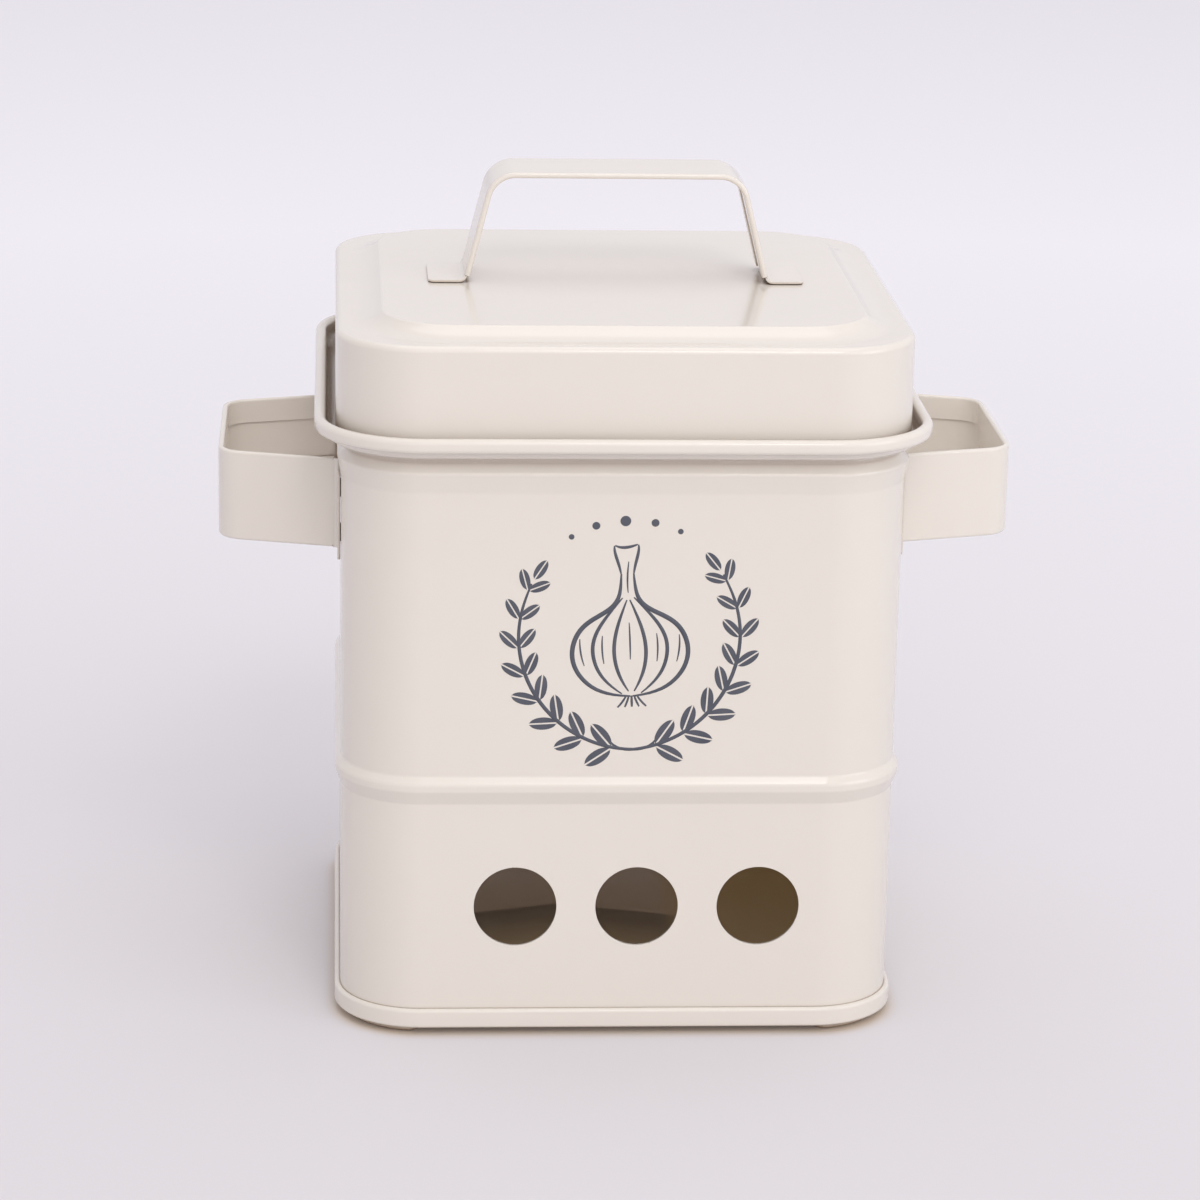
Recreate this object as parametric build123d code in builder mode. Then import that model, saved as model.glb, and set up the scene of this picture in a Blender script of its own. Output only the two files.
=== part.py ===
"""Square garlic keeper in thin painted sheet steel, with a lift-off lid and three strap handles.

Millimetres. The origin is the middle of the footprint on the table, +Z is up and the vented front faces -Y.
"""

import os
from math import atan2, tan

from build123d import *

os.makedirs("parts", exist_ok=True)

# ---- sheet and joints ----
sheet = 0.5  # steel sheet with its coat
seam_clearance = 0.1  # between the wall and the band folded round it
nugget_height = 0.12  # spot welds hold a tab this far off its wall
nugget_diameter = 3.4

# ---- body wall, from the bottom up ----
body_width = 100.5  # outside, flat to flat
corner_radius = 14.5  # outside, seen from above
bead_z = 47.0  # middle of the rolled bead's crest
bead_crest = 1.2
bead_upper_flank = 1.3
bead_lower_flank = 2.5
bead_proud = 1.0
bead_round = 1.0
shoulder_z = 104.8  # crest of the shoulder ridge, where the wall starts to neck in
shoulder_swell = 2.6  # the ridge swells out over this height
shoulder_proud = 0.4
shoulder_round = 1.2
neck_depth = 0.9
neck_rise = 1.9
neck_round = 0.5
ledge_rise = 1.5  # from the foot of the neck to the face that carries the lid
collar_rise = 3.7  # from that face to the top of the rim
collar_round = 0.6
rim_hem_gap = 1.1  # open space inside the rim's hem
rim_hem_height = 2.6
rim_lip_round = 0.5

# ---- vent holes in the front ----
vent_diameter = 14.9
vent_pitch = 21.9
vent_count = 3
vent_z = 24.4
vent_shift = 3.0  # the row sits this far right of the middle

# ---- lock seam at the back ----
lock_seam_width = 5.0
lock_seam_proud = 0.5

# ---- base pan ----
foot_height = 1.3
band_height = 3.6
band_proud = 1.0
band_round = 0.6
foot_size = 15.0  # each corner foot, from its outer side to its inner side
foot_inset = 1.1  # from the band's outer face
foot_inner_round = 4.0

# ---- lid shell ----
skirt_overhang = 1.0  # the skirt stands this far outside the wall below it
skirt_clearance = 1.65  # between the skirt and the collar
skirt_height = 19.3
lid_edge_round = 1.3
panel_margin = 8.25  # from the lid's side to the flat of the raised panel
panel_corner_radius = 12.5
panel_rise = 2.1
panel_slope = 2.4  # how far the panel's sides spread on the way down
panel_round = 1.2

# ---- handle straps ----
strap_hem = 4.5
strap_bend_round = 1.2
strap_corner_round = 5.4
hem_setback = 1.5  # the hems stop this far from the wall

side_strap_width = 16.6
side_handle_drop = 12.1  # from the shoulder to the middle of the left strap
right_handle_lift = 1.1  # the right strap is welded this much higher
side_reach = 22.3
side_tab_length = 9.2
side_tab_setback = 1.4  # from the tab's end to the start of the wall's round corner
side_leg_slant = 6.0

lid_strap_width = 15.5
lid_handle_height = 20.4  # above the raised panel
lid_bar_span = 45.6
lid_leg_slant = 5.0
lid_foot_length = 6.6

# ---- worked out from the sizes above ----
body_half = body_width / 2
band_bottom_z = foot_height
wall_bottom_z = band_bottom_z + sheet
band_top_z = band_bottom_z + band_height
left_handle_z = shoulder_z - side_handle_drop
right_handle_z = left_handle_z + right_handle_lift
ledge_z = shoulder_z + neck_rise + ledge_rise
rim_top_z = ledge_z + collar_rise
lid_width = body_width + 2 * skirt_overhang
lid_corner_radius = corner_radius + skirt_overhang
lid_top_z = ledge_z + skirt_height
panel_width = lid_width - 2 * panel_margin
panel_top_z = lid_top_z + panel_rise
side_root_half = body_half - corner_radius - side_tab_setback - side_tab_length


def wall_path():
    """A closed path round the wall's outer face."""
    corners = [(0, -body_half), (body_half, -body_half), (body_half, body_half), (0, body_half)]
    with BuildLine() as path:
        FilletPolyline(corners, radius=corner_radius)
        mirror(about=Plane.YZ)
    return path.wire()


def lid_form(inset):
    """The lid as a full block, drawn in by inset on every side. Two of them make the shell."""
    slope_inset = inset * tan(atan2(panel_rise, panel_slope) / 2)  # keeps the sheet even on the slope
    outer_width = lid_width - 2 * inset
    top_width = panel_width - 2 * slope_inset
    top_radius = panel_corner_radius - slope_inset
    spread_width = top_width + 2 * panel_slope
    with BuildPart() as form:
        with BuildSketch(Plane.XY.offset(ledge_z)):
            RectangleRounded(outer_width, outer_width, lid_corner_radius - inset)
        extrude(amount=lid_top_z - inset - ledge_z)
        fillet(form.faces().sort_by(Axis.Z)[-1].edges(), radius=lid_edge_round - inset)
        with BuildSketch(Plane.XY.offset(lid_top_z - inset)):
            RectangleRounded(spread_width, spread_width, top_radius + panel_slope)
        with BuildSketch(Plane.XY.offset(panel_top_z - inset)):
            RectangleRounded(top_width, top_width, top_radius)
        loft()
        flat_faces = form.faces().filter_by(Plane.XY).sort_by(Axis.Z)
        fillet(flat_faces[-2].inner_wires()[0].edges(), radius=panel_round + inset)
        fillet(form.faces().sort_by(Axis.Z)[-1].edges(), radius=panel_round - inset)
    return form.part


def strap_line(root_half, bar_half, reach, tab_length):
    """The strap's middle line: tab, slanted leg, bar, slanted leg, tab."""
    tab_y = nugget_height + sheet / 2
    bar_y = reach - sheet / 2
    return FilletPolyline(
        (-root_half - tab_length, tab_y),
        (-root_half, tab_y),
        (-bar_half, bar_y),
        (bar_half, bar_y),
        (root_half, tab_y),
        (root_half + tab_length, tab_y),
        radius=[strap_bend_round, strap_corner_round, strap_corner_round, strap_bend_round],
    )


# Wall: one sheet section, carried round the rounded square.
# In the section x is the distance out from the wall's outer face and y is the height.
wall_x = -sheet / 2
neck_x = wall_x - neck_depth
ledge_y = ledge_z - sheet / 2
collar_x = skirt_overhang + skirt_clearance + sheet / 2
hem_round = (rim_hem_gap + sheet) / 2
hem_outer_x = collar_x + 2 * hem_round
hem_top_y = rim_top_z - sheet / 2 - hem_round
hem_bottom_y = rim_top_z - rim_hem_height + sheet / 2
hem_top = (collar_x + hem_round, hem_top_y + hem_round)
lip_end = (hem_outer_x - rim_lip_round, hem_bottom_y)
section_plane = Plane(origin=(0, -body_half, 0), x_dir=(0, -1, 0), z_dir=(-1, 0, 0))

with BuildPart() as body_wall:
    with BuildSketch(section_plane):
        with BuildLine():
            FilletPolyline(
                (wall_x, wall_bottom_z),
                (wall_x, bead_z - bead_crest / 2 - bead_lower_flank),
                (wall_x + bead_proud, bead_z - bead_crest / 2),
                (wall_x + bead_proud, bead_z + bead_crest / 2),
                (wall_x, bead_z + bead_crest / 2 + bead_upper_flank),
                (wall_x, shoulder_z - shoulder_swell),
                (wall_x + shoulder_proud, shoulder_z),
                (neck_x, shoulder_z + neck_rise),
                (neck_x, ledge_y),
                (collar_x, ledge_y),
                (collar_x, hem_top_y),
                radius=4 * [bead_round] + 2 * [shoulder_round] + 2 * [neck_round] + [collar_round],
            )
            ThreePointArc((collar_x, hem_top_y), hem_top, (hem_outer_x, hem_top_y))
            Line((hem_outer_x, hem_top_y), (hem_outer_x, hem_bottom_y + rim_lip_round))
            RadiusArc((hem_outer_x, hem_bottom_y + rim_lip_round), lip_end, rim_lip_round)
        trace(line_width=sheet)
    sweep(path=wall_path())
    with BuildSketch(Plane.XZ.offset(-body_half)):
        with Locations((0, (band_top_z + shoulder_z - shoulder_swell) / 2)):
            Rectangle(lock_seam_width, shoulder_z - shoulder_swell - band_top_z - 2 * lock_seam_proud)
    extrude(amount=-lock_seam_proud)
    with BuildSketch(Plane.XZ.offset(body_half)):
        with Locations((vent_shift, vent_z)):
            with GridLocations(vent_pitch, 0, vent_count, 1):
                Circle(vent_diameter / 2)
    extrude(amount=-2 * sheet, mode=Mode.SUBTRACT)
body_wall.part.label = "body_wall"
export_step(body_wall.part, "parts/body_wall.step")

# Base pan: a plate under the wall, a band folded up round it and four pressed feet.
band_width = body_width + 2 * band_proud
band_radius = corner_radius + band_proud
pocket_width = body_width + 2 * seam_clearance
foot_middle = band_width / 2 - foot_inset - foot_size / 2


def corner_feet(inset, height):
    """The outlines of four feet that follow the band's round corners, drawn in by inset."""
    around = band_width - 2 * foot_inset - 2 * inset
    with BuildSketch(Plane.XY.offset(height)) as outline:
        with GridLocations(2 * foot_middle, 2 * foot_middle, 2, 2):
            Rectangle(foot_size - 2 * inset, foot_size - 2 * inset)
        fillet(outline.vertices(), radius=foot_inner_round - inset)
        RectangleRounded(around, around, band_radius - foot_inset - inset, mode=Mode.INTERSECT)
    return outline.sketch


with BuildPart() as base_pan:
    with BuildSketch(Plane.XY.offset(band_bottom_z)):
        RectangleRounded(band_width, band_width, band_radius)
    extrude(amount=band_height)
    fillet(base_pan.faces().sort_by(Axis.Z)[0].edges(), radius=band_round)
    with BuildSketch(Plane.XY.offset(wall_bottom_z)):
        RectangleRounded(pocket_width, pocket_width, corner_radius + seam_clearance)
    extrude(amount=band_height, mode=Mode.SUBTRACT)
    extrude(corner_feet(0, 0), amount=wall_bottom_z)
    extrude(corner_feet(sheet, sheet), amount=wall_bottom_z, mode=Mode.SUBTRACT)
base_pan.part.label = "base_pan"
export_step(base_pan.part, "parts/base_pan.step")

# Lid shell: the outer form less the inner one.
with BuildPart() as lid_shell:
    add(lid_form(0))
    add(lid_form(sheet), mode=Mode.SUBTRACT)
lid_shell.part.label = "lid_shell"
export_step(lid_shell.part, "parts/lid_shell.step")


# Straps: all three are the same loop, laid on another plane.
# On a strap's plane x runs along the loop, y points away from the wall and z runs across the strap.
def strap_outline(plane, root_half, bar_half, reach, tab_length, layer=0):
    """The strap's sheet, seen along its width. Layer 1 is the hem, which lies inside and has no tabs."""
    inset = layer * sheet
    with BuildSketch(plane) as outline:
        with BuildLine():
            strap_line(root_half - inset, bar_half - inset, reach - inset, tab_length)
        trace(line_width=sheet)
        if layer > 0:
            with Locations((0, hem_setback / 2)):
                Rectangle(4 * root_half, hem_setback, mode=Mode.SUBTRACT)
    return outline.sketch


def add_strap(plane, width, loop):
    """One strap in the part being built, with a hem along both long edges."""
    extrude(strap_outline(plane, *loop), amount=width)
    for hem_start in (0, width - strap_hem):
        extrude(strap_outline(plane.offset(hem_start), *loop, layer=1), amount=strap_hem)


def nugget_outlines(plane, width, root_half, tab_length):
    """Two nuggets under each tab. The plane lies on the wall."""
    with BuildSketch(plane) as outline:
        with GridLocations(2 * root_half + tab_length, width / 2, 2, 2):
            Circle(nugget_diameter / 2)
    return outline.sketch


side_planes = {
    "left": Plane(
        origin=(-body_half, 0, left_handle_z - side_strap_width / 2), x_dir=(0, 1, 0), z_dir=(0, 0, 1)
    ),
    "right": Plane(
        origin=(body_half, 0, right_handle_z + side_strap_width / 2), x_dir=(0, 1, 0), z_dir=(0, 0, -1)
    ),
}
side_weld_planes = {
    "left": Plane(origin=(-body_half, 0, left_handle_z), x_dir=(0, 1, 0), z_dir=(-1, 0, 0)),
    "right": Plane(origin=(body_half, 0, right_handle_z), x_dir=(0, 1, 0), z_dir=(1, 0, 0)),
}
side_loop = (side_root_half, side_root_half - side_leg_slant, side_reach, side_tab_length)
side_tabs = (side_strap_width, side_root_half, side_tab_length)
for side in ("left", "right"):
    with BuildPart() as side_handle:
        add_strap(side_planes[side], side_strap_width, side_loop)
    side_handle.part.label = side + "_handle"
    export_step(side_handle.part, f"parts/{side}_handle.step")

    with BuildPart() as side_welds:
        extrude(nugget_outlines(side_weld_planes[side], *side_tabs), amount=nugget_height)
    side_welds.part.label = side + "_handle_welds"
    export_step(side_welds.part, f"parts/{side}_handle_welds.step")

lid_root_half = lid_bar_span / 2 + lid_leg_slant
lid_loop = (lid_root_half, lid_bar_span / 2, lid_handle_height, lid_foot_length)
lid_tabs = (lid_strap_width, lid_root_half, lid_foot_length)

with BuildPart() as lid_handle:
    lid_strap_plane = Plane(origin=(0, lid_strap_width / 2, panel_top_z), x_dir=(1, 0, 0), z_dir=(0, -1, 0))
    add_strap(lid_strap_plane, lid_strap_width, lid_loop)
lid_handle.part.label = "lid_handle"
export_step(lid_handle.part, "parts/lid_handle.step")

with BuildPart() as lid_handle_welds:
    extrude(nugget_outlines(Plane.XY.offset(panel_top_z), *lid_tabs), amount=nugget_height)
lid_handle_welds.part.label = "lid_handle_welds"
export_step(lid_handle_welds.part, "parts/lid_handle_welds.step")
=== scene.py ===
import math

import bmesh
import bpy
from mathutils import Matrix, Vector


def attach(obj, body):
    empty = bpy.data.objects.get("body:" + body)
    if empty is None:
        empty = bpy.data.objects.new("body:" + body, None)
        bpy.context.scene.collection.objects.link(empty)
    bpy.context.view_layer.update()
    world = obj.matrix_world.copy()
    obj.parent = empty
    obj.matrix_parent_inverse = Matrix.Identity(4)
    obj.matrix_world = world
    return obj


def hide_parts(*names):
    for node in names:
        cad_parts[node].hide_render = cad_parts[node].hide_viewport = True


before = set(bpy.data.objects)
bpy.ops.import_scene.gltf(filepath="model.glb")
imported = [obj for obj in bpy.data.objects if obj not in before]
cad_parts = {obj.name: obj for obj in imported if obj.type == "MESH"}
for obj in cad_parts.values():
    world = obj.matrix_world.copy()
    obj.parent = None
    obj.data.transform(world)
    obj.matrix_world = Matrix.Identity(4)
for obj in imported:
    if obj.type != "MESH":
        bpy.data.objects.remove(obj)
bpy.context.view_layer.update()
print("frame loaded:", len(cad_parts), "nodes")

mm = 0.001
hair = 0.01 * mm  # how near counts as the same place


# helpers for selecting, tracing and finishing

def leaveEditMode():
    if bpy.context.object and bpy.context.object.mode != "OBJECT":
        bpy.ops.object.mode_set(mode="OBJECT")


def selectOnly(*chosen):
    leaveEditMode()
    bpy.ops.object.select_all(action="DESELECT")
    for piece in chosen:
        piece.select_set(True)
    bpy.context.view_layer.objects.active = chosen[0]


def editOnly(piece):
    selectOnly(piece)
    bpy.ops.object.mode_set(mode="EDIT")


def pick(kind, test):
    # in edit mode: selects the vertices, edges or faces that pass the test, and nothing else
    bpy.ops.mesh.select_mode(type=kind)
    bpy.ops.mesh.select_all(action="DESELECT")
    mesh = bmesh.from_edit_mesh(bpy.context.object.data)
    elements = {"VERT": mesh.verts, "EDGE": mesh.edges, "FACE": mesh.faces}[kind]
    chosen = [element for element in elements if test(element)]
    for element in chosen:
        element.select_set(True)
    mesh.select_flush(True)
    bmesh.update_edit_mesh(bpy.context.object.data)
    return len(chosen)


def near(a, b, reach=hair):
    return (Vector(a) - Vector(b)).length < reach


def middle(edge):
    return (edge.verts[0].co + edge.verts[1].co) / 2


def nameActive(name):
    piece = bpy.context.object
    piece.name = name
    piece.data.name = name
    return piece


def startLine(name, point):
    # a small plane merged to one vertex, from which a line is traced
    leaveEditMode()
    bpy.ops.object.select_all(action="DESELECT")
    bpy.ops.mesh.primitive_plane_add(size=mm, location=point)
    piece = nameActive(name)
    bpy.ops.object.transform_apply(location=True, rotation=False, scale=False)
    editOnly(piece)
    bpy.ops.mesh.select_mode(type="VERT")
    bpy.ops.mesh.select_all(action="SELECT")
    bpy.ops.mesh.merge(type="CENTER")
    bpy.ops.mesh.select_all(action="SELECT")
    return piece


def traceTo(here, there):
    step = Vector(there) - Vector(here)
    bpy.ops.mesh.extrude_vertices_move(TRANSFORM_OT_translate={"value": step})


def traceLine(name, corners, place, steps=4):
    # corners are (x, z, round) in mm on a section, and place turns (x, z) into a point in metres
    points = [Vector(place(x, z)) for x, z, rounding in corners]
    piece = startLine(name, points[0])
    for here, there in zip(points, points[1:]):
        traceTo(here, there)
    for index, (x, z, rounding) in enumerate(corners):
        if rounding:
            before = (points[index - 1] - points[index]).normalized()
            after = (points[index + 1] - points[index]).normalized()
            turn = math.pi - before.angle(after)
            pick("VERT", lambda vert: near(vert.co, points[index]))
            bpy.ops.mesh.bevel(
                offset=rounding * mm * math.tan(turn / 2), segments=steps, affect="VERTICES",
                clamp_overlap=True,
            )
    pick("VERT", lambda vert: near(vert.co, points[-1]))
    return piece


def spinPicked(centre, axis, angle, steps):
    # anticlockwise seen from the axis's tip, while the operator turns the other way
    bpy.ops.mesh.spin(steps=steps, angle=-angle, center=centre, axis=axis)


def carryRound(piece, straight, cornerSteps=14, straightSteps=4):
    # the section at the front middle goes along the straight, round the corner and to the side's middle
    editOnly(piece)
    bpy.ops.mesh.select_mode(type="VERT")
    bpy.ops.mesh.select_all(action="SELECT")
    for step in range(straightSteps):
        bpy.ops.mesh.extrude_region_move(
            TRANSFORM_OT_translate={"value": (straight * mm / straightSteps, 0, 0)}
        )
    spinPicked((straight * mm, -straight * mm, 0), (0, 0, 1), math.pi / 2, cornerSteps)
    for step in range(straightSteps):
        bpy.ops.mesh.extrude_region_move(
            TRANSFORM_OT_translate={"value": (0, straight * mm / straightSteps, 0)}
        )
    leaveEditMode()


def applyModifier(piece, kind, **settings):
    selectOnly(piece)
    modifier = piece.modifiers.new(kind.lower(), kind)
    for key, value in settings.items():
        setattr(modifier, key, value)
    bpy.ops.object.modifier_apply(modifier=modifier.name)


def mirrorPiece(piece, alongX=True, alongY=True, alongZ=False):
    axes = (alongX, alongY, alongZ)
    applyModifier(piece, "MIRROR", use_axis=axes, use_clip=True, merge_threshold=hair)


def turnOutwards(piece):
    editOnly(piece)
    bpy.ops.mesh.select_all(action="SELECT")
    bpy.ops.mesh.remove_doubles(threshold=hair / 5)
    bpy.ops.mesh.normals_make_consistent(inside=False)
    leaveEditMode()
    highest = max(piece.data.polygons, key=lambda face: face.center.z * abs(face.normal.z))
    if highest.normal.z < 0:
        editOnly(piece)
        bpy.ops.mesh.select_all(action="SELECT")
        bpy.ops.mesh.flip_normals()
        leaveEditMode()


def thicken(piece, sheet, offset=0.0):
    applyModifier(piece, "SOLIDIFY", thickness=sheet * mm, offset=offset, use_even_offset=True)


def cut(piece, tool, operation="DIFFERENCE"):
    applyModifier(piece, "BOOLEAN", object=tool, operation=operation, solver="EXACT")
    bpy.data.objects.remove(tool)


def softenEdges(piece, width, angle=50, segments=2):
    applyModifier(
        piece, "BEVEL", width=width * mm, segments=segments, limit_method="ANGLE",
        angle_limit=math.radians(angle), use_clamp_overlap=False, miter_outer="MITER_ARC",
    )


def smoothPiece(piece, angle=40):
    selectOnly(piece)
    bpy.ops.object.shade_smooth_by_angle(angle=math.radians(angle))
    applyModifier(piece, "WEIGHTED_NORMAL", keep_sharp=True, weight=60)


def finishPiece(piece, body, material, replaced=()):
    piece.data.materials.clear()
    piece.data.materials.append(material)
    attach(piece, body)
    if replaced:
        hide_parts(*replaced)
    print("made", piece.name, len(piece.data.polygons), "faces")


# shader groups that several finishes share

def newGroup(name, inputs, outputs):
    group = bpy.data.node_groups.new(name, "ShaderNodeTree")
    for socketName, kind, value in inputs:
        socket = group.interface.new_socket(name=socketName, in_out="INPUT", socket_type=kind)
        if value is not None:
            socket.default_value = value
    for socketName, kind in outputs:
        group.interface.new_socket(name=socketName, in_out="OUTPUT", socket_type=kind)
    return group, group.nodes.new("NodeGroupInput"), group.nodes.new("NodeGroupOutput")


def addNoise(group, vector, scale, detail, roughness=0.5):
    noise = group.nodes.new("ShaderNodeTexNoise")
    noise.inputs["Detail"].default_value = detail
    noise.inputs["Roughness"].default_value = roughness
    group.links.new(vector, noise.inputs["Vector"])
    if hasattr(scale, "is_output"):
        group.links.new(scale, noise.inputs["Scale"])
    else:
        noise.inputs["Scale"].default_value = scale
    return noise


def addMath(group, operation, first, second=None, third=None, clamp=False):
    node = group.nodes.new("ShaderNodeMath")
    node.operation = operation
    node.use_clamp = clamp
    for index, value in enumerate((first, second, third)):
        if value is None:
            continue
        if hasattr(value, "is_output"):
            group.links.new(value, node.inputs[index])
        else:
            node.inputs[index].default_value = value
    return node.outputs[0]


def addRamp(group, value, fromMin, fromMax, toMin=0.0, toMax=1.0):
    node = group.nodes.new("ShaderNodeMapRange")
    group.links.new(value, node.inputs["Value"])
    ends = {"From Min": fromMin, "From Max": fromMax, "To Min": toMin, "To Max": toMax}
    for socketName, amount in ends.items():
        if hasattr(amount, "is_output"):
            group.links.new(amount, node.inputs[socketName])
        else:
            node.inputs[socketName].default_value = amount
    return node.outputs["Result"]


def addColourMix(group, factor, first, second, blend="MIX"):
    node = group.nodes.new("ShaderNodeMix")
    node.data_type = "RGBA"
    node.blend_type = blend
    for socket, value in ((node.inputs[0], factor), (node.inputs[6], first), (node.inputs[7], second)):
        if hasattr(value, "is_output"):
            group.links.new(value, socket)
        else:
            socket.default_value = value
    return node.outputs[2]


coatTuning = {
    "driftDetail": 1.0,
    "mottleShare": 0.25,
    "toneSpan": (0.25, 1.0),
    "edgeSpan": (0.995, 0.86),
    "patchSize": 55.0,
    "patchShare": 0.6,
    "chipSoftness": 0.06,
    "chipDull": 0.35,
    "smudgeSpan": (0.25, 0.8),
    "bevelSamples": 6,
    "foldSamples": 8,
}


def makeToneGroup():
    # slow drifts of tone in the coat, and faint small mottling
    group, given, out = newGroup(
        "coatTone",
        [("Vector", "NodeSocketVector", None), ("Light tone", "NodeSocketColor", (1, 1, 1, 1)),
         ("Deep tone", "NodeSocketColor", (0.9, 0.9, 0.9, 1)), ("Drift size", "NodeSocketFloat", 16.0),
         ("Mottle size", "NodeSocketFloat", 210.0)],
        [("Color", "NodeSocketColor")],
    )
    detail = coatTuning["driftDetail"]
    drift = addNoise(group, given.outputs["Vector"], given.outputs["Drift size"], detail)
    mottle = addNoise(group, given.outputs["Vector"], given.outputs["Mottle size"], detail)
    share = coatTuning["mottleShare"]
    blended = addMath(group, "MULTIPLY_ADD", mottle.outputs["Fac"], share, drift.outputs["Fac"])
    factor = addRamp(group, blended, *coatTuning["toneSpan"])
    colour = addColourMix(group, factor, given.outputs["Light tone"], given.outputs["Deep tone"])
    group.links.new(colour, out.inputs["Color"])
    return group


def makeWearGroup():
    # small chips along sharp edges: the bevelled normal leaves the true one only near an edge
    group, given, out = newGroup(
        "edgeWear",
        [("Vector", "NodeSocketVector", None), ("Reach", "NodeSocketFloat", 0.0004),
         ("Chip size", "NodeSocketFloat", 700.0), ("Rarity", "NodeSocketFloat", 0.7)],
        [("Chips", "NodeSocketFloat")],
    )
    bevel = group.nodes.new("ShaderNodeBevel")
    bevel.samples = coatTuning["bevelSamples"]
    group.links.new(given.outputs["Reach"], bevel.inputs["Radius"])
    geometry = group.nodes.new("ShaderNodeNewGeometry")
    dot = group.nodes.new("ShaderNodeVectorMath")
    dot.operation = "DOT_PRODUCT"
    group.links.new(bevel.outputs["Normal"], dot.inputs[0])
    group.links.new(geometry.outputs["Normal"], dot.inputs[1])
    edge = addRamp(group, dot.outputs["Value"], *coatTuning["edgeSpan"])
    patches = addNoise(group, given.outputs["Vector"], coatTuning["patchSize"], detail=2.0)
    chips = addNoise(group, given.outputs["Vector"], given.outputs["Chip size"], detail=3.0)
    share = coatTuning["patchShare"]
    both = addMath(group, "MULTIPLY_ADD", patches.outputs["Fac"], share, chips.outputs["Fac"])
    soft = addMath(group, "ADD", given.outputs["Rarity"], coatTuning["chipSoftness"])
    spots = addRamp(group, both, given.outputs["Rarity"], soft)
    group.links.new(addMath(group, "MULTIPLY", spots, edge, clamp=True), out.inputs["Chips"])
    return group


def makePaintedShadeGroup():
    # painted shade: a warm, darker colour laid into folds and narrow gaps where the sheet closes in on
    # itself, found by ambient occlusion
    group, given, out = newGroup(
        "paintedShade",
        [("Gap", "NodeSocketFloat", 0.0025), ("Open", "NodeSocketFloat", 0.7),
         ("Closed", "NodeSocketFloat", 0.22)],
        [("Shade", "NodeSocketFloat")],
    )
    occlusion = group.nodes.new("ShaderNodeAmbientOcclusion")
    occlusion.samples = coatTuning["foldSamples"]
    group.links.new(given.outputs["Gap"], occlusion.inputs["Distance"])
    shade = addRamp(group, occlusion.outputs["AO"], given.outputs["Open"], given.outputs["Closed"])
    group.links.new(shade, out.inputs["Shade"])
    return group


def makePeelGroup():
    # the coat's height: fine orange peel on slow waves of the thin sheet
    group, given, out = newGroup(
        "orangePeel",
        [("Vector", "NodeSocketVector", None), ("Peel size", "NodeSocketFloat", 420.0),
         ("Peel depth", "NodeSocketFloat", 0.012), ("Wave size", "NodeSocketFloat", 24.0),
         ("Wave depth", "NodeSocketFloat", 1.0)],
        [("Height", "NodeSocketFloat")],
    )
    peel = addNoise(group, given.outputs["Vector"], given.outputs["Peel size"], detail=2.0)
    waves = addNoise(group, given.outputs["Vector"], given.outputs["Wave size"], detail=1.0)
    fine = addMath(group, "MULTIPLY", peel.outputs["Fac"], given.outputs["Peel depth"])
    height = addMath(group, "MULTIPLY_ADD", waves.outputs["Fac"], given.outputs["Wave depth"], fine)
    group.links.new(height, out.inputs["Height"])
    return group


def makeHandlingGroup():
    # how dull the coat is: faint wiping marks and finger smudges
    group, given, out = newGroup(
        "handling",
        [("Vector", "NodeSocketVector", None), ("Clean", "NodeSocketFloat", 0.24),
         ("Smudged", "NodeSocketFloat", 0.34), ("Smudge size", "NodeSocketFloat", 60.0)],
        [("Roughness", "NodeSocketFloat")],
    )
    smudge = addNoise(group, given.outputs["Vector"], given.outputs["Smudge size"], detail=2.0)
    low, high = coatTuning["smudgeSpan"]
    dull = addRamp(group, smudge.outputs["Fac"], low, high, given.outputs["Clean"], given.outputs["Smudged"])
    group.links.new(dull, out.inputs["Roughness"])
    return group


toneGroup = makeToneGroup()
wearGroup = makeWearGroup()
paintedShadeGroup = makePaintedShadeGroup()
peelGroup = makePeelGroup()
handlingGroup = makeHandlingGroup()


def newMaterial(name):
    material = bpy.data.materials.new(name)
    material.use_nodes = True
    tree = material.node_tree
    return material, tree, tree.nodes["Principled BSDF"]


def placeGroup(tree, group, vector=None, **values):
    node = tree.nodes.new("ShaderNodeGroup")
    node.node_tree = group
    if vector:
        tree.links.new(vector, node.inputs["Vector"])
    for key, value in values.items():
        node.inputs[key.replace("_", " ")].default_value = value
    return node


def srgb(red, green, blue):
    # a colour given as 0 to 255 in each channel, made linear
    shares = [channel / 255 for channel in (red, green, blue)]
    return (*[c / 12.92 if c <= 0.04045 else ((c + 0.055) / 1.055) ** 2.4 for c in shares], 1)


enamel = {
    "lightTone": srgb(233, 226, 216),
    "deepTone": srgb(231, 223, 213),
    "paintedShadeTone": srgb(138, 108, 76),
    "chipTone": srgb(96, 84, 72),
    "clean": 0.2,
    "smudged": 0.265,
    "waveBump": 0.00012,
    "coat": 0.5,
    "coatRoughness": 0.06,
}


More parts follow.
